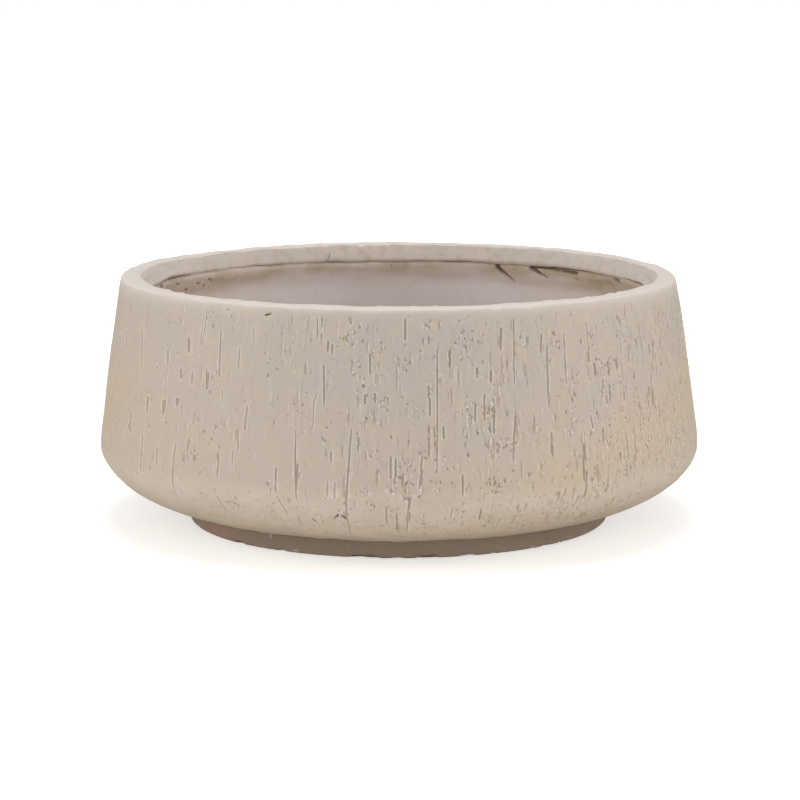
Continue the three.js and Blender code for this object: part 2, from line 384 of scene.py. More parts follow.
# Grooves that stand out on the front, by depth: lines of points, each one's degrees from the front,
# height and width
tracedGrooves = {
    0.95: [
        [(-13.9, 195, 2.0), (-13.7, 178, 2.5), (-13.6, 159, 1.8)],
        [(-8.5, 138, 1.7), (-8.8, 104, 2.1), (-9.2, 70, 2.3), (-9.7, 33, 1.5)],
        [(7.1, 210, 1.8), (7.0, 180, 2.1), (6.9, 140, 1.7), (6.7, 102, 1.4)],
        [(28.7, 207, 2.2), (28.5, 180, 3.0), (28.3, 153, 1.9)],
    ],
    1.1: [
        [(22.1, 235, 1.2), (21.9, 210, 1.5), (21.6, 176, 1.1)],
        [(32.7, 219, 1.2), (32.6, 195, 1.7), (32.5, 172, 1.1)],
        [(-35.9, 220, 1.5), (-35.6, 200, 2.0), (-35.4, 177, 1.4)],
        [(-18.7, 136, 1.0), (-18.5, 104, 1.6), (-18.2, 72, 1.0)],
        [(13.9, 162, 1.6), (13.8, 144, 2.1)], [(15.7, 168, 1.6), (15.5, 145, 2.1)],
        [(-38.6, 183, 1.8), (-38.2, 165, 2.2)], [(-14.5, 223, 2.1), (-14.5, 217, 1.8)],
        [(-13.2, 216, 3.0), (-13.2, 208, 2.8)], [(-5.3, 206, 1.6), (-5.2, 188, 2.0)],
        [(-4.3, 170, 2.4), (-4.3, 162, 2.1)], [(-6.1, 169, 2.4), (-6.1, 161, 2.6)],
        [(27.8, 219, 2.6), (27.3, 203, 2.4)], [(38.4, 226, 1.2), (38.3, 190, 1.7)],
        [(5.6, 166, 2.6), (5.6, 151, 2.4)], [(-12.4, 213, 3.2), (-12.4, 205, 2.0)],
        [(17.1, 189, 2.8), (17, 179, 2.6)], [(14.5, 191, 4.0), (14.5, 184, 3.2)],
        [(17.4, 152, 2.4), (17.2, 133, 2.6)], [(8, 140, 2.4), (8, 130, 2.8)],
        [(19.5, 227, 3.0), (19.2, 207, 2.2)], [(21.4, 146, 2.2), (20.6, 108, 1.8)],
        [(28.6, 129, 2.6), (28.2, 111, 2.4)], [(47.2, 205, 1.4), (46.6, 147, 2.0)],
        [(41.4, 172, 2.6), (40.8, 156, 2.2)], [(37.6, 140, 3.0), (37.9, 129, 2.2)],
        [(59, 218, 1.8), (58, 178, 2.0)], [(57, 158, 1.6), (56.5, 120, 1.9)],
        [(61, 118, 2.2), (61, 97, 2.0)], [(48.9, 109, 2.0), (48.5, 92, 2.2)],
        [(46.5, 113, 1.8), (46.2, 94, 2.0)],
    ],
    3.6: [
        [(-26, 237.4, 2.3), (-24.9, 238.8, 2.3)], [(-34.9, 239.4, 2.6), (-34.8, 239.4, 2.6)],
        [(1.7, 239.6, 2.4), (1.8, 239.6, 2.4)], [(-16, 51, 2.5), (-15.5, 48, 2.2)],
        [(-10.3, 57, 2.5), (-9.7, 53, 2.2)], [(-11.6, 54, 1.9), (-10.9, 58, 1.9)],
    ],
    1.0: [
        [(-39.9, 236, 1.5), (-39.9, 222, 1.7), (-40.5, 204, 1.2)],
        [(-43.8, 208, 3.4), (-43.5, 196, 3.2)], [(-49.1, 148, 4.2), (-49, 138, 3.8)],
        [(-45.2, 153, 2.8), (-45.4, 145, 2.2)], [(-38, 179, 3.0), (-38, 166, 2.6)],
        [(-60.5, 128, 2.4), (-60.4, 111, 2.2)], [(-18, 104, 1.8), (-18.1, 83, 1.6)],
        [(-12, 117, 2.4), (-12, 108, 1.8)], [(-1.4, 113, 2.8), (-1.4, 95, 2.6)],
        [(-0.5, 112, 2.2), (-0.5, 96, 2.2)],
        [(4.1, 114, 1.8), (3.9, 102, 2.2), (3.6, 85, 1.6)],
        [(11.2, 96, 2.4), (11.2, 78, 2.2)],
        [(2, 76, 2.8), (1.6, 62, 1.6), (1.6, 40, 1.4)],
        [(-2.2, 67, 2.2), (-2.2, 49, 1.8)], [(-15.4, 237, 1.2), (-15.3, 220, 1.4)],
        [(-14.6, 241, 1.4), (-14.5, 229, 1.6)], [(1.2, 237, 2.6), (1.2, 219, 2.9)],
        [(-60.8, 213, 1.4), (-58.8, 176, 1.3)], [(-44.2, 210, 2.2), (-43.9, 197, 2.4)],
        [(-45.6, 179, 2.2), (-45.3, 172, 2.4)], [(-49.7, 147, 3.4), (-49.3, 135, 3.6)],
        [(-45.8, 152, 2.2), (-45.6, 145, 2.4)], [(-55.1, 148, 1.6), (-54.9, 135, 1.5)],
        [(-9.2, 240, 1.2), (-8.9, 233, 2.0)], [(-8.7, 240, 0.9), (-9.2, 233, 0.9)],
        [(9.6, 238, 1.0), (11.4, 234.5, 1.4), (13.2, 238.5, 0.9)],
        [(-60.1, 212, 2.4), (-59.2, 188, 3.4), (-58.1, 164, 2.2)],
        [(-54.6, 147, 3.2), (-54.6, 134, 3.4)],
        [(-60.9, 127, 3.6), (-60.4, 111, 4.6)], [(-59, 121, 3.6), (-58.8, 116, 3.0)],
        [(-55.2, 110, 2.8), (-54.9, 92, 3.4), (-55, 75, 2.4)],
        [(-44.8, 110, 2.0), (-45, 82, 2.8), (-45.2, 70, 2.2), (-45.5, 56, 2.0)],
        [(-34, 105, 2.0), (-34.1, 87, 2.2)], [(-34.5, 66, 2.2), (-34, 51, 2.6)],
        [(-22.1, 100, 1.8), (-22.1, 81, 2.2)], [(-18.1, 105, 1.8), (-18.2, 81, 2.2)],
        [(-28.9, 137, 2.2), (-28.8, 132, 2.4)], [(-21.6, 71, 1.6), (-20.5, 56, 1.6)],
    ],
    0.7: [
        [(-68.2, 201, 6.0), (-67, 186, 5.4)],
        [(-15, 168, 1.6), (-15.5, 162, 1.3), (-15.5, 139, 1.2)],
        [(-40.6, 236, 1.6), (-40.6, 225, 1.6), (-41.0, 195, 1.4)],
        [(-49.9, 194, 4.4), (-49.5, 182, 4.0)], [(-45.2, 179, 3.6), (-45, 171, 3.6)],
        [(-42.1, 178, 4.4), (-42, 168, 4.0)], [(-68.8, 112, 5.2), (-68.2, 101, 5.2)],
        [(-69.8, 152, 5.2), (-69.6, 142, 5.6)], [(-34.4, 166, 2.0), (-34.1, 153, 2.0)],
        [(-28.5, 227, 1.6), (-28, 208, 1.6)], [(-31.2, 205, 2.0), (-31.1, 188, 2.0)],
        [(-28.6, 153, 2.6), (-28.9, 135, 2.6)], [(-60.6, 122, 3.6), (-62.2, 102, 3.2)],
        [(-49.9, 102, 3.6), (-49.8, 87, 3.2)], [(-31.1, 112, 1.8), (-31, 96, 1.8)],
        [(-30.1, 124, 2.0), (-30, 113, 2.0)], [(-40.9, 56, 1.8), (-40.8, 48, 1.8)],
        [(-12.5, 90, 2.0), (-12.5, 77, 2.0)], [(-11.2, 90, 2.0), (-11.2, 75, 2.0)],
    ],
}
bandCracks = [[(-161.7, 229.5, 2.2), (-162.2, 233, 1.6), (-162.8, 238.5, 0.8)]]
# The ochre ground reaches from the foot up to a slanting line on the right of the front
stains = {
    "lineAtFront": 70.0,
    "lineRise": 1.35,  # mm of height for each degree to the right
    "lineEnds": (4.0, 118.0),
    "leftPatch": (-70.0, 118.0, 75.0, 46.0),  # degrees, height, half width and half height
    "coolFront": (-4.0, 36.0),  # degrees, and the half width of the part that isn't warm
    "paleTurn": (62.0, 16.0),  # height and half height of the pale strip where the shoulder turns under
}


def barkStrength(sheet):
    # 1 on the wall and shoulder, fading out on the lower underside and just under the lip
    low = cut(sheet.r, bark["fadeTo"], bark["fadeFrom"] - bark["fadeTo"])
    high = np.clip((topHeight - bark["bareUnderLip"] - sheet.z) / 5, 0, 1)
    return np.where(sheet.z < shell["widestHeight"], low, np.where(sheet.r > shell["rim"] - 4, high, 0))


def barkDensity(sheet, angle, along, patches):
    # More marks to the right of the front than to the left, down to the sparsest, in patches
    base, swing = bark["density"]
    column = np.round(angle / (2 * math.pi) * sheet.columns).astype(int) % sheet.columns
    row = np.clip(np.round(along / sheet.rowStep).astype(int), 0, sheet.rows - 1)
    facing = base + swing * np.cos(angle - math.radians(bark["densestAt"]))
    least, more = bark["sparsest"]
    facing = np.maximum(facing, least + more * np.clip(-np.cos(angle), 0, 1))
    return facing * np.exp(0.3 * patches[row, column] - 0.05)


def deepen(field, cells, shape):
    field[cells] = np.maximum(field[cells], shape)


def carveGroove(sheet, cuts, burrs, angle, middle, form):
    # Depth falls off as the cube of the distance from the groove's line, so its walls are steep. The
    # width changes along it and narrows at both ends, and a thin burr of paste stands at one side
    length, width, depth, slant, phase, blunt, side = form
    cells, across, along = sheet.window(angle, middle, width * 1.5 + abs(slant) + 2, length / 2)
    u = np.clip(along / length + 0.5, 0, 1)
    wander = 0.12 * np.sin(phase + along * 0.17) + 0.08 * np.sin(2.1 * phase + along * 0.6)
    ends = np.clip(u * length / 3, 0, 1) * np.clip((1 - u) * length / blunt, 0, 1)
    half = width / 2 * (0.4 + 0.6 * np.sqrt(ends)) * (1 + 0.2 * np.sin(phase * 3 + along * 0.9))
    off = across - slant * (0.5 - u) - wander
    deepen(cuts, cells, depth * np.clip(1 - np.abs(off / half) ** 3, 0, 1) * np.sqrt(ends))
    beside = hump(off - side * (half + 0.45), 0.45)
    deepen(burrs, cells, beside * ends * (0.5 + 0.5 * np.sin(phase * 5 + along * 0.5)))


def carvePath(sheet, cuts, path, depth, heightToAlong, burrs=None):
    # Depth falls off as the square of the distance from a broken line of changing width
    points = np.array(path, float)
    x = np.radians(points[:, 0]) * sheet.radius
    y = heightToAlong(points[:, 1])
    centre, middle = (x.min() + x.max()) / 2, (y.min() + y.max()) / 2
    reach = np.ptp(x) / 2 + 4, np.ptp(y) / 2 + 4
    cells, across, along = sheet.window(centre / sheet.radius, middle, *reach)
    px, py = across + centre, along + middle
    for k in range(len(points) - 1):
        dx, dy = x[k + 1] - x[k], y[k + 1] - y[k]
        t = np.clip(((px - x[k]) * dx + (py - y[k]) * dy) / (dx * dx + dy * dy + 1e-9), 0, 1)
        away = np.hypot(px - x[k] - t * dx, py - y[k] - t * dy)
        half = (points[k, 2] * (1 - t) + points[k + 1, 2] * t) / 2
        deepen(cuts, cells, depth * np.clip(1 - (away / half) ** 2, 0, 1))
        if burrs is not None:
            deepen(burrs, cells, 0.7 * hump(away - half - 0.4, 0.45))


def carvePit(sheet, cuts, burrs, angle, middle, form):
    # A leaning elliptical hollow, with a crumb of paste standing beside it
    size, depth, stretch, turn, side = form
    reach = size * stretch + 2.5
    cells, across, along = sheet.window(angle, middle, reach, reach)
    c, s = math.cos(turn), math.sin(turn)
    a, b = across * c + along * s, -across * s + along * c
    deepen(cuts, cells, depth * np.clip(1 - (a / size) ** 2 - (b / (size * stretch)) ** 2, 0, 1) ** 0.7)
    dx, dy = across - side[0] * (size + 0.7), along - side[1] * (size * stretch + 0.5)
    deepen(burrs, cells, np.clip(1.3 - (dx**2 + dy**2) / 0.8, 0, 1))


def carveChip(sheet, cuts, burrs, angle, middle, form):
    # A shallow flat-bottomed patch, steep at its top and sides and running out at its foot
    halfWidth, halfHeight, depth = form
    cells, across, along = sheet.window(angle, middle, halfWidth + 2, halfHeight + 2)
    sides = np.clip((halfWidth - np.abs(across)) / 0.6, 0, 1)
    top = np.clip((halfHeight - along) / 0.6, 0, 1)
    run = np.clip((halfHeight + along) / halfHeight, 0, 1)
    deepen(cuts, cells, depth * sides * top * run)
    rim = hump(np.abs(across) - halfWidth - 0.4, 0.4) * (np.abs(along) < halfHeight)
    deepen(burrs, cells, 0.7 * rim)


def carveBark(sheet, heightToAlong, strength):
    # Returns the depth of every cut and the standing of every burr and crumb, in mm
    random = np.random.default_rng(bark["seed"])
    cuts, burrs = np.zeros((2, sheet.rows, sheet.columns))
    patches = sheet.smeared(bark["seed"] + 1, 16, 24)
    inBark = sheet.along[strength > 0.02]
    lowest, highest = inBark.min(), inBark.max()

    def scattered(count):
        angle = random.uniform(0, 2 * math.pi, count)
        along = random.uniform(lowest, highest, count)
        row = np.clip((along / sheet.rowStep).astype(int), 0, sheet.rows - 1)
        keep = random.uniform(0, 1.1, count) < barkDensity(sheet, angle, along, patches) * strength[row, 0]
        return zip(angle[keep], along[keep])

    def pit(angle, middle):
        size = random.uniform(*bark["pitSize"])
        depth = random.uniform(*bark["pitDepth"]) * min(1, size / 0.9)
        side = (random.choice([-1, 1]) * random.uniform(0.2, 1), random.uniform(-1, 1))
        form = (size, depth, random.uniform(1, 1.9), random.normal(0, 0.4), side)
        carvePit(sheet, cuts, burrs, angle, middle, form)

    for angle, middle in scattered(bark["chips"]):
        form = [random.uniform(*ends) for ends in bark["chipForm"]]
        carveChip(sheet, cuts, burrs, angle, middle, form)
    halfWidth, halfHeight, depth = bark["nickForm"]
    for angle, middle in scattered(bark["nicks"]):
        form = random.uniform(*halfWidth), halfHeight, random.uniform(*depth)
        carveChip(sheet, cuts, burrs, angle, middle, form)
    for angle, middle in scattered(bark["grooves"]):
        stretch = math.exp(bark["lengthSpread"] * random.standard_normal())
        length = min(bark["longestGroove"], bark["grooveLength"] * stretch)
        middle = np.clip(middle, lowest + length / 2, highest - length / 2)
        gain = 1 + bark["widerOnRight"] * max(0, math.cos(angle - math.radians(bark["densestAt"])))
        width = random.uniform(*bark["grooveWidth"]) * gain
        shallow, deep = bark["grooveDepth"]
        depth = shallow + (deep - shallow) * random.uniform() ** 2
        depth = depth * gain * min(1, 0.6 + length / 30)
        slant = random.normal(0, 0.02) * length
        phase, blunt = random.uniform(0, 6.3), random.uniform(1.0, 3.0)
        side = random.choice([1, 1, -1])
        carveGroove(sheet, cuts, burrs, angle, middle, (length, width, depth, slant, phase, blunt, side))
    for depth, paths in tracedGrooves.items():
        for path in paths:
            carvePath(sheet, cuts, path, depth, heightToAlong, burrs)
    for angle, middle in scattered(bark["clusters"]):
        for _ in range(random.poisson(bark["pitsInCluster"])):
            away = random.normal(0, bark["clusterSpread"], 2)
            pit(angle + away[0] / sheet.radius, middle + 1.2 * away[1])
    for angle, middle in scattered(bark["singlePits"]):
        pit(angle, middle)
    fade = strength**0.5
    return cuts * fade, burrs * fade * (cuts < 0.1)


def stainFields(sheet):
    # Ochre lies under the slanting line, most of it close below, and in the left patch, both with an
    # uneven edge; pink spots follow the line. Away from the front the ground is warm
    uneven = sheet.smeared(21, 14, 14)
    start, end = stains["lineEnds"]
    line = stains["lineAtFront"] + stains["lineRise"] * sheet.degrees + 9 * uneven
    reach = cut(sheet.degrees, start, 25) * np.clip((end - sheet.degrees) / 30, 0, 1)
    under = line - sheet.z
    right = np.clip(under / 40 + 0.4, 0, 1) * (0.35 + 0.65 * hump(under - 15, 38)) * reach
    at, level, halfWidth, halfHeight = stains["leftPatch"]
    acrossPatch = np.radians(sheet.degrees - at) * sheet.radius
    left = hump(acrossPatch, halfWidth) * hump(sheet.z - level, halfHeight) * (1 + 0.3 * uneven)
    pink = hump(sheet.z - line, 9) * reach * np.clip(sheet.smeared(22, 4, 4) - 0.2, 0, 1)
    middle, halfWidth = stains["coolFront"]
    away = 1 - hump(sheet.degrees - middle + 4 * uneven, halfWidth)
    level, halfHeight = stains["paleTurn"]
    pale = hump(sheet.z - level, halfHeight) * (sheet.r > bark["fadeTo"])
    return np.clip(np.maximum(right, left), 0, 1) * (1 - 0.6 * pale), pink, away, pale


def makeShell(material):
    skin, hidden = shellProfile()
    sheet = Sheet(shell["sheetColumns"], shell["sheetRadius"], skin, shell["sheetStep"])
    strength = barkStrength(sheet)
    rising = np.argmax(skin[:, 1])
    upWall = lambda z: np.interp(z, skin[:rising, 1], sheet.lengths[:rising])
    downBand = lambda z: np.interp(z, skin[:rising:-1, 1], sheet.lengths[:rising:-1])
    cuts, burrs = carveBark(sheet, upWall, strength)
    cracks = np.zeros_like(cuts)
    for path in bandCracks:
        carvePath(sheet, cracks, path, shell["crackDepth"], downBand)
    innerCorner = hump(np.hypot(sheet.r - lipInside, sheet.z - topHeight), 4)
    outerCorner = hump(np.hypot(sheet.r - shell["rim"], sheet.z - topHeight), 6)
    onBand = np.clip((lipInside - sheet.r) / 2, 0, 1) * (sheet.z > bandHeight - 1)
    onLip = np.clip((sheet.z - topHeight + 2.5) / 2, 0, 1) * (1 - onBand)
    joint = np.clip((footTop + 4 - sheet.z) / 3, 0, 1)
    waves = sheet.relief(shell["waves"])
    for at, level, halfWidth, halfHeight, depth in shell["flats"]:
        waves = waves - depth * hump(sheet.degrees - at, halfWidth) * hump(sheet.z - level, halfHeight)
    smears = sheet.relief(shell["bandSmears"]) * onBand + sheet.relief(shell["lipSmears"]) * onLip
    worn = shell["edgeWear"] * np.abs(sheet.smeared(16, 13, 4))
    worn = worn + shell["edgeBites"] * cut(sheet.smeared(17, 4, 3), 1.2, 0.9)
    push = waves - shell["inset"] + smears + sheet.relief(shell["footJoint"]) * joint
    push = push - worn * (innerCorner + 0.5 * outerCorner) - cuts + shell["burrStands"] * burrs - cracks
    lowBand = onBand * np.clip((bandHeight + 7 - sheet.z) / 7, 0, 1)
    longDroop, shortDroop = shell["bandDroops"]
    drop = lowBand * (longDroop * sheet.wobble(24, 24) + shortDroop * sheet.wobble(25, 5))
    ochre, pink, away, pale = stainFields(sheet)
    facing = 0.65 + 0.35 * np.cos(sheet.angle - math.radians(bark["densestAt"]))
    atSides = np.sin(sheet.angle) ** 2
    belowLip = hump(topHeight - sheet.z, 6 + 6 * atSides) * (sheet.r > shell["rim"] - 5)
    belowLip = belowLip * (0.38 + 0.27 * atSides)
    # The band paler at the sides: painted light where the softboxes reach it less
    litBandSides = 0.4 * onBand * atSides
    # A pale line just above the foot: painted highlight where the underside's edge catches the floor's
    # light
    footEdgeHighlight = hump(sheet.z - footTop - 1.2, 1.2) * (sheet.r < bark["fadeTo"])
    marks = {
        "crevice": np.clip(cuts + cracks, 0, 1),
        # The deepest cuts, coloured near black as painted shade
        "deep": cut(cuts, 1.4, 0.8),
        "burr": burrs + 0.45 * footEdgeHighlight,
        "lip": np.clip(onLip + belowLip + litBandSides, 0, 1),
        "band": onBand,
        "ochre": ochre,
        "pink": pink,
        "away": away,
        "pale": pale,
        "pepper": np.clip(0.6 + 0.4 * sheet.smeared(26, 10, 14), 0, 1) * strength * facing,
    }
    piece = turnedMesh("bowl_casting", skin, hidden, sheet, shell["every"], push, drop, marks)
    settle(piece, shell["triangles"], 60)
    dress(piece, "planter", "bowl_shell", material)


lining = {
    "sheetColumns": 2048,
    "sheetRadius": 255.0,
    "sheetStep": 1.2,
    "every": 1,
    "rowStep": 1.6,
    "triangles": 140000,
    "set": 7.8,  # from the mould's face to the lining's back
    "thickness": 7.6,
    "ledgeStep": 7.0,
    "packingHeight": 34.0,
    "packingRound": 3.0,
    "pressed": 3.4,  # how far the packing is pressed out under the band
    "flush": 0.75,  # how much further at the sides, where it meets the band's edge
    "spread": 2.0,  # how much of it is spread over the wall below
    "spreadBelow": 28.0,
    "trowel": [(0.4, 31, 34, 8), (0.1, 32, 18, 2.5)],
    "raggedness": (0.6, 0.25),  # of the packing, in wide lumps and in small ones
    "gapDepth": 2.2,
    "pitDepth": 1.4,
    "sidesFrom": 24.0,  # degrees from the back, where the stain and painted shade under the band start to grow
    "sidesFade": 24.0,
    "darkeningReach": (14.0, 6.0),  # of the stain and painted shade below the band, and how much further at the sides
    "coveWidth": 30.0,
    "coveHeight": 15.0,
    "flangeHole": 22.8,
    "flangeSeat": 2.8,
}
# Folds in the lining under the band, by depth: degrees from the front, height and width
linerFolds = {
    4.0: [
        [(154.8, 226, 6.0), (153.9, 221, 4.8), (152.6, 215.5, 3.4), (151.2, 209.5, 1.6)],
        [(145.3, 227, 7.0), (144.2, 223.5, 5.6), (142.8, 220, 4.0), (141.2, 216.5, 1.8)],
    ],
    3.2: [
        [(145.3, 227.5, 3.2), (140.6, 227.0, 2.8), (136.4, 226.6, 2.8)],
        [(136.4, 226.6, 2.8), (133.8, 225.8, 3.8), (131.2, 225.2, 3.0)],
    ],
    1.6: [
        [(-102.5, 226, 2.8), (-105, 224, 2.0)], [(-107.6, 223, 3.0), (-109, 221.5, 2.2)],
        [(-113.1, 222.5, 2.4), (-115, 220.5, 2.0)], [(-119.9, 213, 2.8), (-121, 211.5, 2.2)],
        [(-123.1, 218.5, 2.4), (-124.6, 216.5, 2.0)], [(-126.6, 214.5, 3.0), (-126.9, 213, 2.4)],
        [(-126.8, 221.5, 2.6), (-128.4, 219.5, 2.0)], [(131.9, 219.5, 1.8), (131.4, 217.5, 1.8)],
        [(123.5, 221, 1.4), (123, 215, 1.6)], [(118, 222, 1.4), (117.5, 214, 2.0)],
    ],
}
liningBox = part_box("lining_coat")
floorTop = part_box("drain_sleeve")[1].z / mm


def liningProfile():
    # The inside that shows, from the ledge under the band down to the drain, and the hidden back
    top = liningBox[1].z / mm
    bottom = liningBox[0].z / mm
    back = betweenHeights(offsetLeft(face, lining["set"]), bottom, top)
    inside = offsetLeft(face, lining["set"] + lining["thickness"])
    at = lambda z: np.array([np.interp(z, inside[:, 1], inside[:, 0]), z])
    ledge = np.array([lipInside - shell["bandTaper"] + lining["ledgeStep"], top])
    belowLedge = ledge - [0, lining["packingRound"]]
    half = top - lining["packingHeight"] / 2
    packingFoot = at(top - lining["packingHeight"])
    cove = at(floorTop + lining["coveHeight"])
    coveFoot = at(floorTop) - [lining["coveWidth"], 0]
    shown = [
        roundCorner(back[-1], ledge, belowLedge, lining["packingRound"]),
        bezier([belowLedge, [ledge[0], half], at(half), packingFoot], 20)[1:],
        betweenHeights(inside, cove[1], packingFoot[1])[::-1][1:-1],
        bezier([cove, at(floorTop), coveFoot], 16),
        [[lining["flangeHole"], floorTop]],
    ]
    seat = floorTop - lining["flangeSeat"]
    hidden = [
        [[lining["flangeHole"], seat], [shell["drainHole"], seat], [shell["drainHole"], bottom]],
        evenly(back, 12),
    ]
    return evenly(np.vstack(shown), lining["rowStep"]), np.vstack(hidden)


def makeLining(material):
    shown, hidden = liningProfile()
    sheet = Sheet(lining["sheetColumns"], lining["sheetRadius"], shown, lining["sheetStep"])
    below = np.clip(liningBox[1].z / mm - sheet.z, 0, None)
    sides = cut(180 - np.abs(sheet.degrees), lining["sidesFrom"], lining["sidesFade"])
    reach, further = lining["darkeningReach"]
    near = hump(below, reach + further * sides)
    patchy = 1 + (0.5 - 0.3 * sides) * sheet.smeared(37, 20, 6)
    wall = np.argmax(shown[:, 0] < 100)
    downWall = lambda z: np.interp(z, shown[wall::-1, 1], sheet.lengths[wall::-1])
    folds = np.zeros((sheet.rows, sheet.columns))
    for depth, paths in linerFolds.items():
        for path in paths:
            carvePath(sheet, folds, path, depth, downWall)
    trowel = sheet.relief(lining["trowel"])
    wide, small = lining["raggedness"]
    ragged = wide * np.abs(sheet.smeared(33, 12, 4)) + small * np.abs(sheet.smeared(34, 3, 2))
    gaps = cut(sheet.smeared(35, 9, 1.8), 1.7, 0.8) * hump(below - 2.5, 3)
    pits = cut(sheet.smeared(36, 1.4, 1.4), 3.0, 0.6) * (0.3 + near)
    level = np.clip((sheet.z - floorTop) / 12, 0.15, 1)
    # The runs of the rim, left and right of the back, where the packing lies flush
    atLeft = cut(-sheet.degrees, 88, 12) * cut(sheet.degrees, -168, 14)
    atRight = cut(sheet.degrees, 85, 12) * cut(-sheet.degrees, -126, 10)
    pressed = lining["pressed"] * (1 + lining["flush"] * (atLeft + atRight))
    pressed = pressed * hump(below, 9) * np.clip(below / 2, 0, 1)
    pressed = pressed + lining["spread"] * hump(below - lining["spreadBelow"], 16)
    push = (trowel - 0.5) * level - ragged * near - folds
    push = push - lining["gapDepth"] * gaps - lining["pitDepth"] * pits
    push = pressed + np.minimum(push, -skinGap) * (1 - hump(sheet.along, 1.5))
    marks = {
        # Folds, gaps and pits darkened: painted shade in the slits, with some grime
        "crevice": np.clip(folds / 1.6 + gaps + pits, 0, 1),
        # Under the band the lining is browner and darker: a stain, and painted shade under the band's
        # edge, more of it at the sides
        "underBandStainAndShade": np.clip(near * (0.75 + 0.3 * sides) * patchy, 0, 1),
        "ochre": sides + 0 * push,
        "pepper": 0.25 * near + 0 * push,
    }
    piece = turnedMesh("bowl_lining", shown, hidden, sheet, lining["every"], push, 0 * push, marks)
    settle(piece, lining["triangles"], 60)
    dress(piece, "planter", "lining_coat", material)


foot = {
    "sheetColumns": 2048,
    "sheetStep": 0.8,
    "every": 1,
    "rowStep": 0.9,
    "triangles": 90000,
    "outer": 209.5,
    "width": 30.0,
    "draft": 3.5,
    "round": 2.5,
    "waves": [(0.25, 53, 16, 6), (0.12, 54, 3, 3)],
    "lobes": (1.2, 0.5),  # in long waves and in short ones
    "chipDepth": (2.0, 1.3),  # of the big chips and of the small ones
    "chipsReach": 4.5,  # up from the ground
    "seamAt": -35.5,  # degrees from the front
    "seamWidth": 1.2,
    "rustyAt": -57.0,  # degrees from the front, the middle of a reddish stain
}


def makeFoot(material):
    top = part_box("foot_ring")[1].z / mm
    outer, inner = foot["outer"], foot["outer"] - foot["width"]
    outerTop, innerTop = [outer + foot["draft"], top], [inner - foot["draft"], top]
    ring = [
        roundCorner(innerTop, [inner, 0], [outer, 0], foot["round"]),
        roundCorner([inner, 0], [outer, 0], outerTop, foot["round"]),
        [outerTop],
    ]
    shown = evenly(np.vstack(ring), foot["rowStep"])
    hidden = evenly([outerTop, innerTop], 15)[1:]
    sheet = Sheet(foot["sheetColumns"], outer, shown, foot["sheetStep"])
    low = np.clip(1 - sheet.z / foot["chipsReach"], 0, 1)
    atEdges = hump(sheet.r - outer, 5) + hump(sheet.r - inner, 5)
    big, small = foot["chipDepth"]
    chips = big * cut(sheet.smeared(51, 5, 2.5), 0.9, 1.2)
    chips = chips + small * cut(sheet.smeared(52, 1.8, 1.4), 1.5, 1)
    chips = chips * low * np.clip(atEdges, 0, 1)
    outside = sheet.r > (outer + inner) / 2
    besideSeam = np.radians(sheet.degrees - foot["seamAt"]) * outer
    seam = 0.6 * hump(besideSeam, foot["seamWidth"]) * (sheet.z > 11) * outside
    outerFace = (sheet.r > outer - 3) * np.clip(sheet.z / 3, 0, 1)
    longLobes, shortLobes = foot["lobes"]
    waves = longLobes * sheet.wobble(56, 70) + shortLobes * sheet.wobble(57, 14)
    waves = waves + sheet.relief(foot["waves"])
    underneath = -skinGap - 0.25 * np.abs(sheet.smeared(55, 2, 2)) * (atEdges <= 0.4)
    push = np.where(sheet.z < 0.05, underneath, 0) + outerFace * (waves - 0.4)
    push = np.minimum(push, 1.5) - chips - 0.7 * seam
    marks = {
        "crevice": np.clip(chips / 2.2, 0, 1),
        "burr": np.clip(seam + 1.2 * cut(sheet.smeared(58, 1.6, 0.9), 2.2, 0.5) * (sheet.z < 3), 0, 1),
        "pink": hump(sheet.degrees - foot["rustyAt"], 9) * outside,
        "pepper": 0.3 + 0 * push,
    }
    piece = turnedMesh("foot_casting", shown, hidden, sheet, foot["every"], push, 0 * push, marks)
    settle(piece, foot["triangles"], 50)
    dress(piece, "planter", "foot_ring", material)


def hexColour(code):
    # sRGB hex to the linear values that shaders take
    srgb = np.array([int(code[i : i + 2], 16) for i in (1, 3, 5)]) / 255
    linear = np.where(srgb <= 0.04045, srgb / 12.92, ((srgb + 0.055) / 1.055) ** 2.4)
    return (*linear, 1.0)


def addNode(tree, kind, inputs=None, pick=0, **settings):
    # One shader node: its inputs are values or other nodes' outputs, and pick is the output wanted
    node = tree.nodes.new("ShaderNode" + kind)
    for name, value in settings.items():
        setattr(node, name, value)
    for socket, value in (inputs or {}).items():
        if isinstance(value, bpy.types.NodeSocket):
            tree.links.new(value, node.inputs[socket])
        else:
            node.inputs[socket].default_value = value
    return node.outputs[pick] if node.outputs else None


def emptyMaterial(name):
    material = bpy.data.materials.new(name)
    material.use_nodes = True
    material.node_tree.nodes.clear()
    return material, material.node_tree


def clouds(tree, place, size, low, high, detail=2.0, seed=0.0):
    # A mask of patches about size mm across: 0 where the noise is under low, 1 where it is over high
    moved = addNode(tree, "VectorMath", {0: place, 1: (seed, seed * 0.7, -seed)}, operation="ADD")
    inputs = {"Vector": moved, "Scale": 1 / (size * mm), "Detail": detail}
    noise = addNode(tree, "TexNoise", inputs)
    return addNode(tree, "MapRange", {0: noise, 1: low, 2: high})


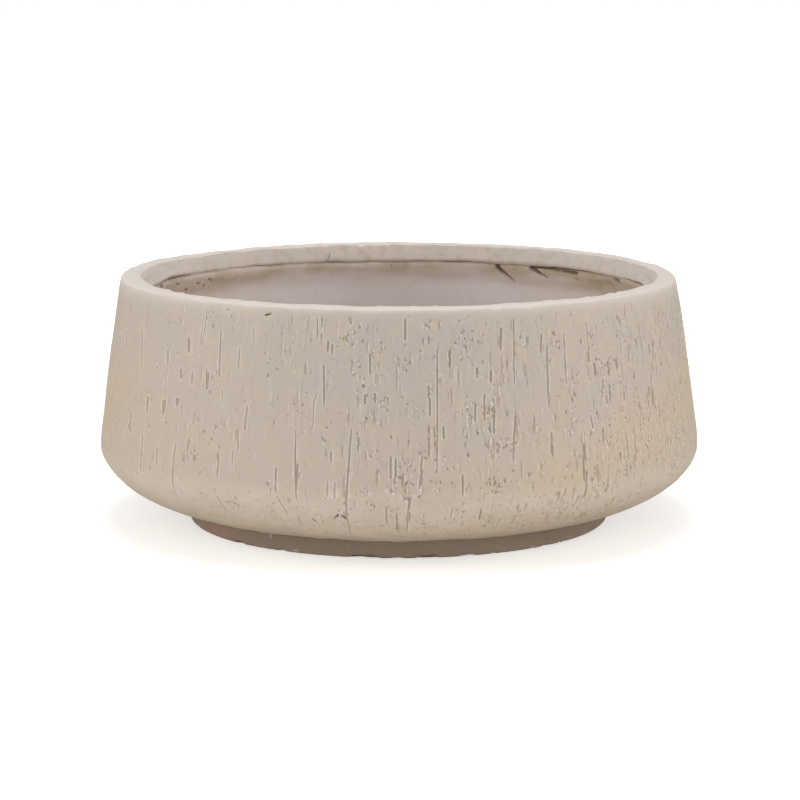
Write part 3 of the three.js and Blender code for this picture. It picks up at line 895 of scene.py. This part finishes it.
def specks(tree, place, spacing, size, stretch, shift=(0, 0, 0)):
    # A mask of spots of uneven size, at most one to a cell of the spacing and up to the given radius,
    # drawn out along the grain by the stretch: each spot is where its own radius is over the distance
    scale = (1 / (spacing * mm), 1 / (spacing * mm), 1 / (spacing * stretch * mm))
    moved = addNode(tree, "VectorMath", {0: place, 1: [s * mm for s in shift]}, operation="ADD")
    cells = addNode(tree, "Mapping", {"Vector": moved, "Scale": scale})
    away = addNode(tree, "TexVoronoi", {"Vector": cells, "Scale": 1.0})
    chance = addNode(tree, "SeparateColor", {0: away.node.outputs["Color"]})
    edge = size / spacing
    own = addNode(tree, "MapRange", {0: chance, 1: 0.0, 2: 1.0, 3: -0.8 * edge, 4: edge})
    inside = addNode(tree, "Math", {0: own, 1: away}, operation="SUBTRACT")
    return addNode(tree, "MapRange", {0: inside, 1: 0.0, 2: 0.35 * edge})


def masked(tree, strength, masks):
    # Masks multiplied together at a strength; a mask is a node's output or one of the mesh's fields
    for mask in masks:
        if isinstance(mask, str):
            mask = addNode(tree, "Attribute", pick="Fac", attribute_name=mask)
        strength = addNode(tree, "Math", {0: mask, 1: strength}, operation="MULTIPLY")
    return strength


def layered(tree, colour, layers):
    # Colours laid over the first one, each at a strength through its masks
    for strength, masks, code in layers:
        inputs = {0: masked(tree, strength, masks), 6: colour, 7: hexColour(code)}
        colour = addNode(tree, "Mix", inputs, 2, data_type="RGBA")
    return colour


def concrete(name, colours, roughness, grit, dirtAndShade):
    # Glass-fibre concrete cast against a mould: matt and chalky, clouded where the cement cured at
    # different rates, darker in cuts and pinholes with grime and painted shade, paler on burrs that are
    # rubbed and carry a painted highlight, and paler low down with painted light from the floor
    material, tree = emptyMaterial(name)
    place = addNode(tree, "TexCoord", pick="Object")
    grain = addNode(tree, "Attribute", pick="Vector", attribute_name="grain")
    level = addNode(tree, "SeparateXYZ", {0: place}, "Z")
    # Heights in metres between which the underside's warm tint, and its paler colour that is painted light
    # from the floor, grow towards the ground
    warm = addNode(tree, "MapRange", {0: level, 1: 0.19, 2: 0.03})
    under = addNode(tree, "MapRange", {0: level, 1: 0.085, 2: 0.035})
    # Patches that hold the pinholes and the bright specks beside them
    pittedPatches = ["pepper", clouds(tree, place, 12, 0.42, 0.58, 2.0, 9.4)]
    ticks = ["pepper", specks(tree, grain, 4.6, 1.4, 5.0)]
    pinholes = pittedPatches + [specks(tree, grain, 3.4, 1.5, 1.1)]
    # Bright specks beside the pinholes: painted highlights where a pit's edge catches light
    fleckHighlights = pittedPatches + [specks(tree, grain, 3.4, 1.2, 1.1, (1.1, 0.5, 1.1))]
    layers = [
        (0.85, [warm], "warm"),
        (0.8, [under], "under"),
        (0.4, ["away"], "warm"),
        (0.5, ["pale"], "pale"),
        (0.35, [clouds(tree, place, 40, 0.40, 0.60, 3.0)], "warm"),
        (0.55, ["ochre", clouds(tree, place, 16, 0.30, 0.70, 3.0, 3.1)], "ochre"),
        (0.3, ["ochre"], "ochre"),
        (0.4, [clouds(tree, place, 13, 0.60, 0.68, 1.0, 5.9)], "yellow"),
        (0.6, ["pink"], "pink"),
        (0.35, [clouds(tree, place, 5, 0.68, 0.75, 1.0, 7.7)], "pink"),
        (0.12, [clouds(tree, place, 3, 0.35, 0.75, 4.0, 1.7)], "dark"),
        (0.8, ["underBandStainAndShade"], "stainedAndShaded"),
        (0.5, ["underBandStainAndShade", clouds(tree, place, 22, 0.45, 0.6, 2.0, 4.4)], "olive"),
        (0.8, ["band"], "band"),
        (0.3, ["band", clouds(tree, place, 12, 0.50, 0.62, 2.0, 2.2)], "olive"),
        (0.3, ["band", clouds(tree, place, 16, 0.52, 0.64, 2.0, 6.6)], "pink"),
        (0.85, ["lip"], "lip"),
        # Cuts and cracks take a darker colour: grime, and painted shade in the hollows
        (dirtAndShade, ["crevice"], "crevice"),
        # The deepest cuts near black: painted shade
        (0.75, ["deep"], "deep"),
        # Ticks and pinholes darkened with grime and painted shade
        (0.4, ticks, "crevice"),
        (0.75, pinholes, "crevice"),
        # Burrs paler: partly rubbed paste, partly painted highlight on their edges
        (0.8, ["burr"], "burr"),
        (0.8, fleckHighlights, "burr"),
    ]
    layers = [(strength, masks, colours[key]) for strength, masks, key in layers]
    colour = layered(tree, hexColour(colours["cool"]), layers)
    stretched = addNode(tree, "Mapping", {"Vector": grain, "Scale": (1, 1, 0.2)})
    inputs = {"Vector": stretched, "Scale": 1 / (1.3 * mm), "Detail": 3.0}
    fibre = addNode(tree, "TexNoise", inputs)
    sand = addNode(tree, "TexNoise", {"Vector": place, "Scale": 1 / (0.8 * mm), "Detail": 2.0})
    relief = addNode(tree, "Math", {0: sand, 1: 0.6, 2: fibre}, operation="MULTIPLY_ADD")
    for depth, masks in ((4.0, pinholes), (3.0, ticks)):
        inputs = {0: relief, 1: masked(tree, depth, masks)}
        relief = addNode(tree, "Math", inputs, operation="SUBTRACT")
    bump = addNode(tree, "Bump", {"Strength": 0.6, "Distance": grit * mm, "Height": relief})
    inputs = {"Base Color": colour, "Roughness": roughness, "Specular IOR Level": 0.3, "Normal": bump}
    shader = addNode(tree, "BsdfPrincipled", inputs)
    addNode(tree, "OutputMaterial", {"Surface": shader})
    return material


faceColours = {
    "cool": "#BAAFA8",
    "warm": "#C2B3A1",
    # Paler low down: painted light from the floor
    "under": "#E4D4BF",
    "pale": "#D3C8BF",
    "ochre": "#C8B194",
    "yellow": "#C4B896",
    "pink": "#C9A99F",
    "dark": "#A2968A",
    "stainedAndShaded": "#A89880",
    "olive": "#978A6C",
    "band": "#B6ACA2",
    "lip": "#DFD6CE",
    "crevice": "#7F715F",
    "deep": "#332C25",
    "burr": "#E4DCD2",
}
# The lining's colours are paler than its concrete: painted light that makes up for the shade inside the
# bowl
liningColours = faceColours | {
    "cool": "#DDD7D8",
    "warm": "#D7D0CD",
    "ochre": "#DACCBE",
    "yellow": "#D7CFC8",
    "dark": "#C8BEB7",
    "stainedAndShaded": "#AE9B82",
    "olive": "#A6987A",
    "crevice": "#4E4436",
}
# The foot's colours are darker than the face's: a darker tone of concrete, and painted shade under the
# bowl's overhang
footColours = faceColours | {
    "cool": "#9B8E83",
    "warm": "#9D8D7C",
    "under": "#9D8D7C",
    "yellow": "#97897A",
    "pink": "#B18A79",
    "dark": "#807467",
    "crevice": "#6E6257",
}
makeShell(concrete("castFaceConcrete", faceColours, 0.88, 0.2, 0.5))
makeLining(concrete("handLaidConcrete", liningColours, 0.92, 0.15, 0.85))
makeFoot(concrete("castFootConcrete", footColours, 0.92, 0.18, 0.6))


def moulded(name, colour, roughness, grain):
    # Moulded rubber or plastic: even colour with the mould's fine spark grain, and a little dust
    material, tree = emptyMaterial(name)
    place = addNode(tree, "TexCoord", pick="Object")
    dust = clouds(tree, place, 9, 0.5, 0.8, 3.0)
    tone = layered(tree, hexColour(colour), [(0.18, [dust], "#9C958C")])
    noise = addNode(tree, "TexNoise", {"Vector": place, "Scale": 1 / (0.4 * mm), "Detail": 2.0})
    bump = addNode(tree, "Bump", {"Strength": 0.4, "Distance": grain * mm, "Height": noise})
    inputs = {"Base Color": tone, "Roughness": roughness, "Normal": bump}
    shader = addNode(tree, "BsdfPrincipled", inputs)
    addNode(tree, "OutputMaterial", {"Surface": shader})
    return material


def repaint(node, material):
    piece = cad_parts[node]
    piece.data.materials.clear()
    piece.data.materials.append(material)


repaint("fibre_mat", moulded("choppedStrandMat", "#D9D8CC", 0.75, 0.3))
repaint("drain_sleeve", moulded("greyPolypropylene", "#6F7275", 0.5, 0.03))
repaint("drain_plug", moulded("blackRubber", "#262626", 0.75, 0.05))
print("materials set")

studio = {
    "sky": 0.27,
    "floor": "#EDEBE8",
    "floorSize": 30.0,
    "floorGlow": (0.5, 1.0),  # near and far, seen by the camera alone, so that the floor reads as white
    "glowReach": (0.3, 2.5),  # metres from the bowl's axis, near and far
    "size": 1.7,  # of a softbox
    "distance": 3.2,
    # degrees from the front, degrees up, share of a plain white's light
    "front": (0, 15, 0.27),
    "left": (-75, 18, 0.365),
    "right": (75, 18, 0.36),
    "over": (0, 86, 0.40),
    "back": (180, 30, 0.08),
}


def makeFloor():
    # A pale floor that reads as white to the camera and still holds the bowl's soft shadow
    bpy.ops.mesh.primitive_plane_add(size=studio["floorSize"])
    floor = bpy.context.object
    floor.name = "studioFloor"
    material, tree = emptyMaterial("paleFloor")
    toCamera = addNode(tree, "LightPath", pick="Is Camera Ray")
    diffuse = addNode(tree, "BsdfDiffuse", {"Color": hexColour(studio["floor"])})
    place = addNode(tree, "TexCoord", pick="Object")
    away = addNode(tree, "VectorMath", {0: place}, "Value", operation="LENGTH")
    inputs = dict(enumerate([away, *studio["glowReach"], *studio["floorGlow"]]))
    glow = addNode(tree, "MapRange", inputs)
    strength = masked(tree, 1.0, [toCamera, glow])
    glow = addNode(tree, "Emission", {"Color": (1, 1, 1, 1), "Strength": strength})
    both = addNode(tree, "AddShader", {0: diffuse, 1: glow})
    addNode(tree, "OutputMaterial", {"Surface": both})
    floor.data.materials.append(material)


def makeWorld():
    # Even white surroundings: plain studio light on the bowl, white to the camera
    world = bpy.data.worlds.new("studio")
    bpy.context.scene.world = world
    world.use_nodes = True
    tree = world.node_tree
    tree.nodes.clear()
    seen = addNode(tree, "LightPath", pick="Is Camera Ray")
    for kind in ("Is Glossy Ray", "Is Transmission Ray"):
        ray = addNode(tree, "LightPath", pick=kind)
        seen = addNode(tree, "Math", {0: seen, 1: ray}, operation="MAXIMUM")
    strength = addNode(tree, "MapRange", {0: seen, 1: 0.0, 2: 1.0, 3: studio["sky"], 4: 1.0})
    sky = addNode(tree, "Background", {"Color": (1, 1, 1, 1), "Strength": strength})
    addNode(tree, "OutputWorld", {"Surface": sky})


def makeLight(name):
    # A square softbox that faces the bowl; at this distance its share reaches a surface that faces it
    turn, up, share = studio[name]
    turn, up = math.radians(turn), math.radians(up)
    away = Vector((math.sin(turn) * math.cos(up), -math.cos(turn) * math.cos(up), math.sin(up)))
    data = bpy.data.lights.new(name + "Softbox", "AREA")
    data.shape = "SQUARE"
    data.size = studio["size"]
    data.energy = share * math.pi**2 * studio["distance"] ** 2
    lamp = bpy.data.objects.new(name + "Softbox", data)
    lamp.location = away * studio["distance"] + Vector((0, 0, 0.15))
    lamp.rotation_euler = away.to_track_quat("Z", "Y").to_euler()
    bpy.context.scene.collection.objects.link(lamp)


makeFloor()
makeWorld()
for name in ("front", "left", "right", "over", "back"):
    makeLight(name)
bpy.context.scene.view_settings.view_transform = "Standard"
print("studio lit")
